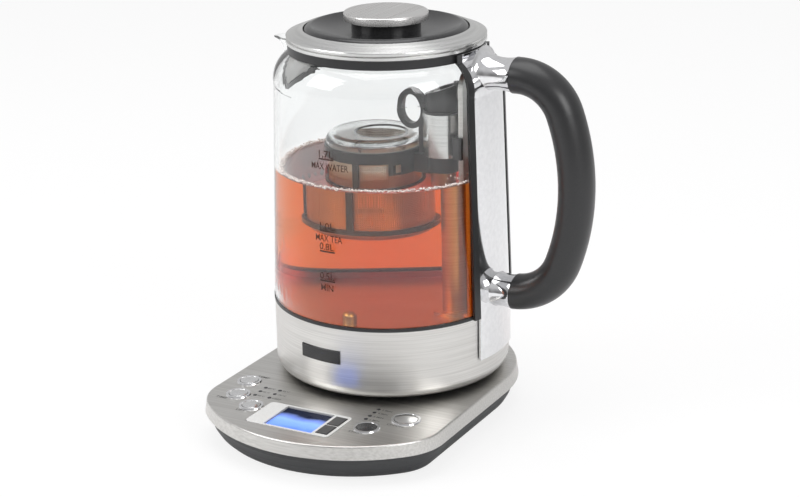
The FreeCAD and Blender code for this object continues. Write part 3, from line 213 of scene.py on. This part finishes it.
# Black tub of the base: moulded plastic with a fine satin grain, screwed up into the plate
# from below, on rubber feet. The cord leaves through a grommet at the back.
tub_black = finish("tub_black", (0.035, 0.036, 0.038), 0.42)
grain(tub_black, (1.0, 1.0, 1.0), 0.25, 0.36, 0.50, fine=2600.0,
      tone=((0.030, 0.031, 0.033), (0.042, 0.043, 0.045)))
dress(tub_black, "base_housing", "jug_bottom_cover", "power_socket", "jug_connector")
foot_rubber = finish("foot_rubber", (0.03, 0.03, 0.03), 0.8)
grain(foot_rubber, (1.0, 1.0, 1.0), 0.4, 0.7, 0.9, fine=1800.0)
dress(foot_rubber, "rubber_feet", "cord_grommet")
screw_steel = finish("screw_steel", (0.5, 0.5, 0.5), 0.35, 1.0)
grain(screw_steel, (1.0, 1.0, 1.0), 0.3, 0.28, 0.45, fine=1500.0)
dress(screw_steel, "base_screws", "lid_screw", "lead_screw")

# Steel foot band of the jug: a drawn sleeve, brushed round its axis, so its lines are level.
# The badge place on it stays a bare dark plate with a bright edge.
band_steel = finish("band_steel", (0.62, 0.61, 0.59), 0.32, 1.0)
grain(band_steel, (18.0, 18.0, 1400.0), 0.45, 0.26, 0.42, tone=((0.56, 0.55, 0.53), (0.69, 0.68, 0.66)))
dress(band_steel, "jug_base_shell", "heating_plate", "lift_post", "guide_rail", "temperature_sensor")
badge_black = finish("badge_black", (0.012, 0.012, 0.013), 0.18)
grain(badge_black, (1.0, 1.0, 1.0), 0.05, 0.14, 0.24, fine=900.0)
dress(badge_black, "badge_plate")

# Chrome: the handle's panel and its two flared sockets, the button bezels and the caps.
# Polished steel: the collar round the mouth and the sleeve that climbs the post.
chrome = finish("chrome", (0.78, 0.78, 0.79), 0.06, 1.0)
grain(chrome, (1.0, 1.0, 1.0), 0.03, 0.04, 0.10, fine=350.0, tone=((0.74, 0.74, 0.75), (0.82, 0.82, 0.83)))
dress(chrome, "upper_socket", "lower_socket", "button_bezels", "handle_panel")
collar_steel = finish("collar_steel", (0.66, 0.66, 0.65), 0.22, 1.0)
grain(collar_steel, (20.0, 20.0, 1100.0), 0.3, 0.16, 0.30, tone=((0.60, 0.60, 0.59), (0.72, 0.72, 0.71)))
dress(collar_steel, "collar_ring", "magnet_sleeve")
knob_steel = finish("knob_steel", (0.66, 0.65, 0.64), 0.25, 1.0)
grain(knob_steel, (500.0, 14.0, 500.0), 0.4, 0.20, 0.36, tone=((0.60, 0.59, 0.58), (0.72, 0.71, 0.70)))
dress(knob_steel, "lid_knob_disc")

# Black parts of the jug: the D-shaped grip has a soft satin skin, the lid is a glossier
# moulding, the seals are silicone, and the strainer's frame is plain moulded black.
grip_skin = finish("grip_skin", (0.018, 0.018, 0.019), 0.32)
grain(grip_skin, (1.0, 1.0, 1.0), 0.2, 0.27, 0.38, fine=2200.0,
      tone=((0.014, 0.014, 0.015), (0.024, 0.024, 0.025)))
dress(grip_skin, "handle_grip")
lid_gloss = finish("lid_gloss", (0.02, 0.02, 0.021), 0.2)
grain(lid_gloss, (1.0, 1.0, 1.0), 0.08, 0.16, 0.28, fine=700.0,
      tone=((0.016, 0.016, 0.017), (0.026, 0.026, 0.027)))
dress(lid_gloss, "lid_dish", "lid_stem")
seal_black = finish("seal_black", (0.016, 0.016, 0.017), 0.38)
grain(seal_black, (1.0, 1.0, 1.0), 0.1, 0.32, 0.46, fine=1200.0)
dress(seal_black, "glass_seal_ring", "collar_gasket", "panel_gasket", "lid_gasket")
frame_black = finish("frame_black", (0.018, 0.018, 0.019), 0.3)
grain(frame_black, (1.0, 1.0, 1.0), 0.12, 0.25, 0.38, fine=1700.0)
dress(frame_black, "basket_holder", "sleeve_cap", "finger_ring", "guide_shoe", "spout_filter_frame")

# Glass jug: one blown body with a lip pulled out for pouring. Shadow rays pass it, so that
# what is inside is lit as by light that comes through clear glass.
def see_through(made, tint):
    nodes, links = made.node_tree.nodes, made.node_tree.links
    shader = nodes["Principled BSDF"]
    shader.inputs["Transmission Weight"].default_value = 1.0
    clear = nodes.new("ShaderNodeBsdfTransparent")
    clear.inputs["Color"].default_value = (*tint, 1)
    ray = nodes.new("ShaderNodeLightPath")
    mix = nodes.new("ShaderNodeMixShader")
    links.new(ray.outputs["Is Shadow Ray"], mix.inputs[0])
    links.new(shader.outputs[0], mix.inputs[1])
    links.new(clear.outputs[0], mix.inputs[2])
    links.new(mix.outputs[0], nodes["Material Output"].inputs["Surface"])


jug_glass = finish("jug_glass", (0.97, 0.98, 0.98), 0.0)
grain(jug_glass, (1.0, 1.0, 0.3), 0.04, 0.0, 0.012, fine=40.0, distance=0.0004)
jug_glass.node_tree.nodes["Principled BSDF"].inputs["IOR"].default_value = 1.47
see_through(jug_glass, (0.96, 0.96, 0.96))
dress(jug_glass, "glass_body")
lid_clear = finish("lid_clear", (0.93, 0.94, 0.94), 0.05)
grain(lid_clear, (1.0, 1.0, 1.0), 0.12, 0.03, 0.16, fine=260.0, distance=0.0003)
lid_clear.node_tree.nodes["Principled BSDF"].inputs["IOR"].default_value = 1.49
see_through(lid_clear, (0.9, 0.9, 0.9))
dress(lid_clear, "strainer_lid")

# Strainer cup and spout filter: woven stainless wire. The weave is drawn round the cup's
# own axis, with the gaps between the wires left open.
def woven(made, centre_x, pitch, open_share, radius):
    nodes, links = made.node_tree.nodes, made.node_tree.links
    shader = nodes["Principled BSDF"]
    place = nodes.new("ShaderNodeTexCoord")
    part = nodes.new("ShaderNodeSeparateXYZ")
    links.new(place.outputs["Object"], part.inputs[0])
    offset = nodes.new("ShaderNodeMath")
    offset.operation = "SUBTRACT"
    offset.inputs[1].default_value = centre_x
    links.new(part.outputs["X"], offset.inputs[0])
    angle = nodes.new("ShaderNodeMath")
    angle.operation = "ARCTAN2"
    links.new(part.outputs["Y"], angle.inputs[0])
    links.new(offset.outputs[0], angle.inputs[1])
    waves = []
    for source, rate in ((angle.outputs[0], math.pi * radius / pitch), (part.outputs["Z"], math.pi / pitch)):
        run = nodes.new("ShaderNodeMath")
        run.operation = "MULTIPLY"
        run.inputs[1].default_value = rate
        links.new(source, run.inputs[0])
        wave = nodes.new("ShaderNodeMath")
        wave.operation = "SINE"
        links.new(run.outputs[0], wave.inputs[0])
        whole = nodes.new("ShaderNodeMath")
        whole.operation = "ABSOLUTE"
        links.new(wave.outputs[0], whole.inputs[0])
        waves.append(whole)
    low = nodes.new("ShaderNodeMath")
    low.operation = "MINIMUM"
    links.new(waves[0].outputs[0], low.inputs[0])
    links.new(waves[1].outputs[0], low.inputs[1])
    hole = nodes.new("ShaderNodeMath")
    hole.operation = "LESS_THAN"
    hole.inputs[1].default_value = 1.0 - open_share
    links.new(low.outputs[0], hole.inputs[0])
    bump = nodes.new("ShaderNodeBump")
    bump.inputs["Strength"].default_value = 0.6
    bump.inputs["Distance"].default_value = 0.0002
    bump.invert = True
    links.new(low.outputs[0], bump.inputs["Height"])
    links.new(bump.outputs[0], shader.inputs["Normal"])
    links.new(hole.outputs[0], shader.inputs["Alpha"])


cup_mesh = finish("cup_mesh", (0.62, 0.55, 0.44), 0.3, 1.0)
woven(cup_mesh, -0.0096, 0.0011, 0.5, 0.028)
dress(cup_mesh, "strainer_cup")
spout_mesh = finish("spout_mesh", (0.75, 0.75, 0.74), 0.3, 1.0)
woven(spout_mesh, 0.0, 0.0008, 0.35, 0.062)
dress(spout_mesh, "spout_filter_mesh")

# Inside the base and the lift: circuit board, switches, contacts, heater, motor, gears.
board_green = finish("board_green", (0.03, 0.16, 0.07), 0.35)
grain(board_green, (1.0, 1.0, 1.0), 0.2, 0.3, 0.45, fine=900.0, tone=((0.02, 0.12, 0.05), (0.04, 0.20, 0.09)))
dress(board_green, "control_board")
switch_black = finish("switch_black", (0.03, 0.03, 0.03), 0.5)
grain(switch_black, (1.0, 1.0, 1.0), 0.2, 0.42, 0.6, fine=1500.0)
dress(switch_black, "board_switches")
contact_brass = finish("contact_brass", (0.72, 0.52, 0.22), 0.25, 1.0)
grain(contact_brass, (1.0, 1.0, 1.0), 0.1, 0.2, 0.35, fine=1200.0)
dress(contact_brass, "socket_contacts")
cast_alloy = finish("cast_alloy", (0.55, 0.54, 0.52), 0.5, 1.0)
grain(cast_alloy, (1.0, 1.0, 1.0), 0.5, 0.4, 0.6, fine=900.0)
dress(cast_alloy, "heating_element", "lift_motor")
gear_nylon = finish("gear_nylon", (0.80, 0.78, 0.70), 0.5)
grain(gear_nylon, (1.0, 1.0, 1.0), 0.15, 0.42, 0.58, fine=1600.0)
dress(gear_nylon, "screw_gear", "motor_pinion")
magnet_plating = finish("magnet_plating", (0.35, 0.35, 0.37), 0.3, 1.0)
grain(magnet_plating, (1.0, 1.0, 1.0), 0.1, 0.22, 0.38, fine=1400.0)
dress(magnet_plating, "magnet_nut", "ring_magnet")

# Buttons: five turned metal caps in chrome rings, one of them dark, and two black keys.
# The caps are domed and polished, with a faint turned grain.
cap_steel = finish("cap_steel", (0.74, 0.74, 0.74), 0.12, 1.0)
grain(cap_steel, (1.0, 1.0, 1.0), 0.08, 0.08, 0.2, fine=1100.0, tone=((0.68, 0.68, 0.68), (0.80, 0.80, 0.80)))
dress(cap_steel, "rear_button", "outer_button", "front_button", "power_button")
cap_dark = finish("cap_dark", (0.03, 0.03, 0.032), 0.28)
grain(cap_dark, (1.0, 1.0, 1.0), 0.08, 0.22, 0.34, fine=1100.0)
dress(cap_dark, "start_button")
key_black = finish("key_black", (0.03, 0.03, 0.032), 0.3)
grain(key_black, (1.0, 1.0, 1.0), 0.1, 0.25, 0.36, fine=1400.0)
dress(key_black, "up_key", "down_key")

# Display: a pale insert with a window, under which a backlit blue screen lies.
# The screen is darker at its upper edge and pale lower down.
insert_silver = finish("insert_silver", (0.66, 0.66, 0.65), 0.3)
grain(insert_silver, (1.0, 1.0, 1.0), 0.08, 0.25, 0.36, fine=1300.0,
      tone=((0.62, 0.62, 0.61), (0.70, 0.70, 0.69)))
dress(insert_silver, "display_bezel")
window_clear = finish("window_clear", (0.95, 0.97, 1.0), 0.02)
grain(window_clear, (1.0, 1.0, 1.0), 0.02, 0.01, 0.05, fine=300.0)
see_through(window_clear, (0.95, 0.95, 1.0))
window_clear.node_tree.nodes["Principled BSDF"].inputs["IOR"].default_value = 1.1
dress(window_clear, "screen_window")
screen_blue = finish("screen_blue", (0.05, 0.10, 0.30), 0.3)
nodes, links = screen_blue.node_tree.nodes, screen_blue.node_tree.links
place = nodes.new("ShaderNodeTexCoord")
part = nodes.new("ShaderNodeSeparateXYZ")
links.new(place.outputs["Object"], part.inputs[0])
low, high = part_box("screen_module")
depth = nodes.new("ShaderNodeMapRange")
depth.inputs["From Min"].default_value = low.y
depth.inputs["From Max"].default_value = high.y
links.new(part.outputs["Y"], depth.inputs["Value"])
cloud = nodes.new("ShaderNodeTexNoise")
cloud.inputs["Scale"].default_value = 70.0
links.new(place.outputs["Object"], cloud.inputs["Vector"])
shift = nodes.new("ShaderNodeMath")
shift.operation = "MULTIPLY_ADD"
shift.inputs[1].default_value = 0.25
links.new(cloud.outputs["Fac"], shift.inputs[0])
links.new(depth.outputs[0], shift.inputs[2])
glow = nodes.new("ShaderNodeValToRGB")
glow.color_ramp.elements[0].position = 0.1
glow.color_ramp.elements[0].color = (0.12, 0.22, 0.60, 1)
glow.color_ramp.elements[1].position = 1.12
glow.color_ramp.elements[1].color = (0.008, 0.012, 0.03, 1)
for place_at, tone in ((0.35, (0.22, 0.36, 0.78)), (0.62, (0.30, 0.44, 0.80)),
                       (0.80, (0.16, 0.22, 0.45)), (0.88, (0.01, 0.015, 0.04))):
    step = glow.color_ramp.elements.new(place_at)
    step.color = (*tone, 1)
links.new(shift.outputs[0], glow.inputs[0])
links.new(glow.outputs[0], nodes["Principled BSDF"].inputs["Base Color"])
links.new(glow.outputs[0], nodes["Principled BSDF"].inputs["Emission Color"])
nodes["Principled BSDF"].inputs["Emission Strength"].default_value = 0.55
dress(screen_blue, "screen_module")

# Indicator lights: clear dark lenses flush in the plate.
lens_dark = finish("lens_dark", (0.03, 0.03, 0.035), 0.2)
grain(lens_dark, (1.0, 1.0, 1.0), 0.05, 0.15, 0.25, fine=900.0)
dress(lens_dark, "indicator_lights")


# Tea: fills the jug to just under the strainer's rim, amber and clear, darker where it is
# deeper. It is a body of revolution that meets the glass, floor and all.
bpy.ops.object.select_all(action="DESELECT")
tea_floor, tea_level = 0.0660, 0.1535
inner_low, inner_high = 0.06965, 0.06700
bpy.ops.mesh.primitive_cylinder_add(vertices=160, radius=inner_low, depth=tea_level - tea_floor,
                                    location=(0, 0, (tea_level + tea_floor) / 2))
tea = bpy.context.object
tea.name = "tea"
bpy.ops.object.transform_apply(location=True, rotation=True, scale=True)
bpy.ops.object.mode_set(mode="EDIT")
mesh = bmesh.from_edit_mesh(tea.data)
for vert in mesh.verts:
    vert.select = vert.co.z > tea_level - 0.001
mesh.select_flush(True)
bmesh.update_edit_mesh(tea.data)
bpy.ops.transform.resize(value=(inner_high / inner_low, inner_high / inner_low, 1))
bpy.ops.mesh.inset(thickness=0.0012)
bpy.ops.transform.translate(value=(0, 0, -0.0006))
bpy.ops.object.mode_set(mode="OBJECT")
bpy.ops.object.shade_smooth_by_angle(angle=0.6)
tea_amber = finish("tea_amber", (1, 1, 1), 0.0)
shader = tea_amber.node_tree.nodes["Principled BSDF"]
shader.inputs["IOR"].default_value = 1.33
see_through(tea_amber, (1.0, 0.8, 0.55))
tea_tree = tea_amber.node_tree
absorb = tea_tree.nodes.new("ShaderNodeVolumeAbsorption")
absorb.inputs["Color"].default_value = (0.95, 0.62, 0.03, 1)
absorb.inputs["Density"].default_value = 46.0
tea_tree.links.new(absorb.outputs[0], tea_tree.nodes["Material Output"].inputs["Volume"])
tea.data.materials.append(tea_amber)
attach(tea, "jug")

# Froth: a string of small bubbles where the tea meets the glass, and a loose raft of them
# at the back. One bubble is made and copied.
random.seed(7)
bpy.ops.object.select_all(action="DESELECT")
bpy.ops.mesh.primitive_ico_sphere_add(subdivisions=2, radius=1.0)
bubble = bpy.context.object
bpy.ops.object.shade_smooth()
froth_mesh = bmesh.new()
spots = []
for row, count in ((0, 420), (1, 380), (2, 200)):
    for number in range(count):
        angle = math.tau * (number + random.uniform(-0.4, 0.4)) / count
        reach = 0.0662 - row * 0.0012 - random.uniform(0, 0.0008)
        size = random.uniform(0.00045, 0.00095) * (1.0 - 0.2 * row)
        spots.append((reach * math.cos(angle), reach * math.sin(angle),
                      tea_level + random.uniform(-0.0004, 0.0011) - row * 0.0004, size))
for number in range(420):
    angle = math.radians(random.gauss(48, 26))
    reach = random.uniform(0.049, 0.065)
    spots.append((reach * math.cos(angle), reach * math.sin(angle), tea_level - 0.0002,
                  random.uniform(0.0003, 0.0008)))
for x, y, z, size in spots:
    start = len(froth_mesh.verts)
    froth_mesh.from_mesh(bubble.data)
    froth_mesh.verts.ensure_lookup_table()
    bmesh.ops.transform(froth_mesh, matrix=Matrix.LocRotScale((x, y, z), None, (size, size, size * 0.8)),
                        verts=froth_mesh.verts[start:])
froth = bpy.data.objects.new("tea_froth", bpy.data.meshes.new("tea_froth"))
froth_mesh.to_mesh(froth.data)
froth_mesh.free()
scene.collection.objects.link(froth)
bpy.data.objects.remove(bubble)
for face in froth.data.polygons:
    face.use_smooth = True
froth_white = finish("froth_white", (0.95, 0.86, 0.82), 0.15)
grain(froth_white, (1.0, 1.0, 1.0), 0.05, 0.08, 0.25, fine=900.0,
      tone=((0.85, 0.68, 0.60), (1.0, 0.96, 0.94)))
froth_white.node_tree.nodes["Principled BSDF"].inputs["Transmission Weight"].default_value = 0.35
froth.data.materials.append(froth_white)
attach(froth, "jug")


# Level marks: dark print on the outside of the glass, a short line for each level and the
# words beside it. Each word is set flat, turned into a mesh and wrapped round the jug.
def word(text, size, width, middle, base):
    bpy.ops.object.select_all(action="DESELECT")
    bpy.ops.object.text_add()
    made = bpy.context.object
    made.data.body = text
    made.data.align_x = "CENTER"
    made.data.size = 1.0
    made.data.resolution_u = 3
    made.data.offset = 0.006
    bpy.ops.object.convert(target="MESH")
    made = bpy.context.object
    xs = [v.co.x for v in made.data.vertices]
    ys = [v.co.y for v in made.data.vertices]
    wide, tall = max(xs) - min(xs), max(ys) - min(ys)
    for v in made.data.vertices:
        v.co.x = middle + (v.co.x - (max(xs) + min(xs)) / 2) * width / wide
        v.co.y = base + (v.co.y - min(ys)) * size / tall
    return made


def bar(left, right, low, high):
    bpy.ops.object.select_all(action="DESELECT")
    bpy.ops.mesh.primitive_plane_add(size=1.0)
    made = bpy.context.object
    made.scale = (right - left, high - low, 1)
    made.location = ((left + right) / 2, (low + high) / 2, 0)
    bpy.ops.object.transform_apply(location=True, rotation=True, scale=True)
    bpy.ops.object.mode_set(mode="EDIT")
    bpy.ops.mesh.subdivide(number_cuts=5)
    bpy.ops.object.mode_set(mode="OBJECT")
    return made


def joined(name, made_list):
    bpy.ops.object.select_all(action="DESELECT")
    for made in made_list:
        made.select_set(True)
    bpy.context.view_layer.objects.active = made_list[0]
    bpy.ops.object.join()
    bpy.context.object.name = name
    bpy.context.object.data.name = name
    return bpy.context.object


marks = []
for text, size, width, z, middle in (
        ("1.7L", 0.0042, 0.0098, 0.1722, -0.0032), ("MAX WATER", 0.0040, 0.0245, 0.1650, -0.0012),
        ("1.0L", 0.0042, 0.0098, 0.1293, -0.0032), ("MAX TEA", 0.0040, 0.0180, 0.1222, -0.0022),
        ("0.8L", 0.0042, 0.0098, 0.1170, -0.0036), ("0.5L", 0.0042, 0.0098, 0.0991, -0.0036),
        ("MIN", 0.0040, 0.0084, 0.0921, -0.0036)):
    marks.append(word(text, size, width, middle, z))
for z in (0.1708, 0.1279, 0.1156, 0.0977):
    marks.append(bar(-0.0084, 0.0019, z, z + 0.0010))
level_marks = joined("level_marks", marks)
glass_foot_radius, glass_foot_z = 0.0720, 0.0716
glass_lean = 0.0042 / 0.1314
print_lift = 0.00012
for v in level_marks.data.vertices:
    radius = glass_foot_radius - glass_lean * (v.co.y - glass_foot_z) + print_lift
    angle = v.co.x / radius
    v.co = Vector((radius * math.sin(angle), -radius * math.cos(angle), v.co.y))
print_brown = finish("print_brown", (0.035, 0.012, 0.008), 0.5)
grain(print_brown, (1.0, 1.0, 1.0), 0.1, 0.4, 0.6, fine=2000.0,
      tone=((0.025, 0.008, 0.006), (0.05, 0.018, 0.01)))
level_marks.data.materials.append(print_brown)
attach(level_marks, "jug")

# Words on the plate: small grey print beside the buttons and lights, numbers and plain
# words only, laid a hair above the steel.
plate_top = 0.02406
labels = []
for text, size, width, x, y in (
        ("TEMP", 0.0021, 0.0085, -0.0575, -0.0615), ("TIME", 0.0021, 0.0075, -0.0640, -0.0985),
        ("LIFT", 0.0021, 0.0060, -0.0430, -0.1100), ("START", 0.0021, 0.0095, 0.0340, -0.1085),
        ("ON/OFF", 0.0021, 0.0110, 0.0500, -0.0905),
        ("80°C", 0.0017, 0.0050, -0.0433, -0.0748), ("85°C", 0.0017, 0.0050, -0.0433, -0.0808),
        ("90°C", 0.0017, 0.0050, -0.0433, -0.0869), ("95°C", 0.0017, 0.0050, -0.0330, -0.0748),
        ("100°C", 0.0017, 0.0060, -0.0325, -0.0808), ("KEEP", 0.0017, 0.0060, -0.0325, -0.0869),
        ("3 MIN", 0.0017, 0.0065, 0.0355, -0.0738), ("4 MIN", 0.0017, 0.0065, 0.0355, -0.0789),
        ("5 MIN", 0.0017, 0.0065, 0.0355, -0.0842), ("6 MIN", 0.0017, 0.0065, 0.0355, -0.0891)):
    labels.append(word(text, size, width, x, y))
plate_words = joined("plate_words", labels)
for v in plate_words.data.vertices:
    v.co.z = plate_top
print_grey = finish("print_grey", (0.10, 0.10, 0.10), 0.5)
grain(print_grey, (1.0, 1.0, 1.0), 0.1, 0.4, 0.6, fine=2000.0, tone=((0.08, 0.08, 0.08), (0.14, 0.14, 0.14)))
plate_words.data.materials.append(print_grey)
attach(plate_words, "base")
